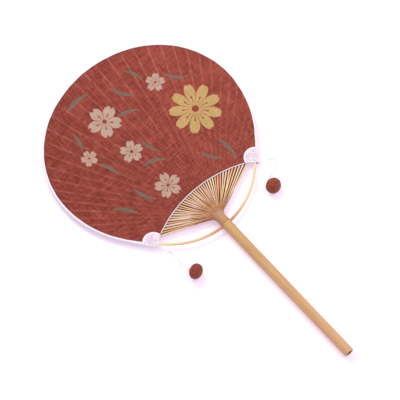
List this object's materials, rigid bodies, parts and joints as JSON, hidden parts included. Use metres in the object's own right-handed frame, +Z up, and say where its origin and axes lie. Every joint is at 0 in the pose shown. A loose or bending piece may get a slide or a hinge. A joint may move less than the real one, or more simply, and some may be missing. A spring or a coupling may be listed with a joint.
{
  "type": "round hand fan",
  "caption": "Round hand fan with a bamboo handle, split ribs, a bent bow, cloth faces, a paper rim and balls on cords.",
  "frame": {"origin": "on the surface the fan lies on, under the middle of its length", "axes": "+X across the blade, +Y from the handle's cut end towards the blade's tip, +Z up off the blade's front face"},
  "size_m": [0.2348, 0.4256, 0.0176],
  "materials": {
    "handle_bamboo": "smooth, low sheen",
    "rib_bamboo": "split bamboo",
    "red_linen": "plain weave, printed",
    "back_linen": "plain weave",
    "white_paper": "matt",
    "thread": "twisted thread",
    "white_cord": "twisted cord",
    "ball_cloth": "gathered cloth",
    "cotton": "loose filling"
  },
  "bodies": {
    "fan": {"handle": "handle_bamboo", "bow": "rib_bamboo", "back_ribs": "rib_bamboo", "front_thread": "thread", "back_thread": "thread", "front_cover": "red_linen", "back_cover": "back_linen", "rim_strip": "white_paper", "left_ear": "white_paper", "right_ear": "white_paper", "front_rib_01": "rib_bamboo", "front_rib_02": "rib_bamboo", "front_rib_03": "rib_bamboo", "front_rib_04": "rib_bamboo", "front_rib_05": "rib_bamboo", "front_rib_06": "rib_bamboo", "front_rib_07": "rib_bamboo", "front_rib_08": "rib_bamboo", "front_rib_09": "rib_bamboo", "front_rib_10": "rib_bamboo", "front_rib_11": "rib_bamboo", "front_rib_12": "rib_bamboo", "front_rib_13": "rib_bamboo", "front_rib_14": "rib_bamboo", "front_rib_15": "rib_bamboo", "front_rib_16": "rib_bamboo", "front_rib_17": "rib_bamboo", "front_rib_18": "rib_bamboo", "front_rib_19": "rib_bamboo", "front_rib_20": "rib_bamboo", "front_rib_21": "rib_bamboo", "front_rib_22": "rib_bamboo", "front_rib_23": "rib_bamboo", "front_rib_24": "rib_bamboo", "front_rib_25": "rib_bamboo", "front_rib_26": "rib_bamboo", "front_rib_27": "rib_bamboo", "front_rib_28": "rib_bamboo", "front_rib_29": "rib_bamboo", "front_rib_30": "rib_bamboo", "front_rib_31": "rib_bamboo", "front_rib_32": "rib_bamboo", "front_rib_33": "rib_bamboo", "front_rib_34": "rib_bamboo", "front_rib_35": "rib_bamboo", "front_rib_36": "rib_bamboo", "front_rib_37": "rib_bamboo", "front_rib_38": "rib_bamboo", "front_rib_39": "rib_bamboo"},
    "left_knotted_end": {"left_tie": "white_cord"},
    "left_pendant": {"left_cord": "white_cord", "left_knot": "white_cord", "left_ball": "ball_cloth", "left_filling": "cotton"},
    "right_knotted_end": {"right_tie": "white_cord"},
    "right_pendant": {"right_cord": "white_cord", "right_knot": "white_cord", "right_ball": "ball_cloth", "right_filling": "cotton"}
  },
  "joints": [
    {"name": "left_swing", "type": "hinge", "parent": "fan", "child": "left_knotted_end", "pos_m": [-0.0724, 0.0088, 0.00615], "axis": [0, 0, 1], "range_deg": [-100, 25]},
    {"name": "left_lift", "type": "hinge", "parent": "left_knotted_end", "child": "left_pendant", "pos_m": [-0.0724, 0.0088, 0.00615], "axis": [-0.971, -0.2391, 0], "range_deg": [0, 80]},
    {"name": "right_swing", "type": "hinge", "parent": "fan", "child": "right_knotted_end", "pos_m": [0.0724, 0.0088, 0.00615], "axis": [0, 0, 1], "range_deg": [-15, 55]},
    {"name": "right_lift", "type": "hinge", "parent": "right_knotted_end", "child": "right_pendant", "pos_m": [0.0724, 0.0088, 0.00615], "axis": [-0.9536, 0.3011, 0], "range_deg": [0, 80]}
  ]
}
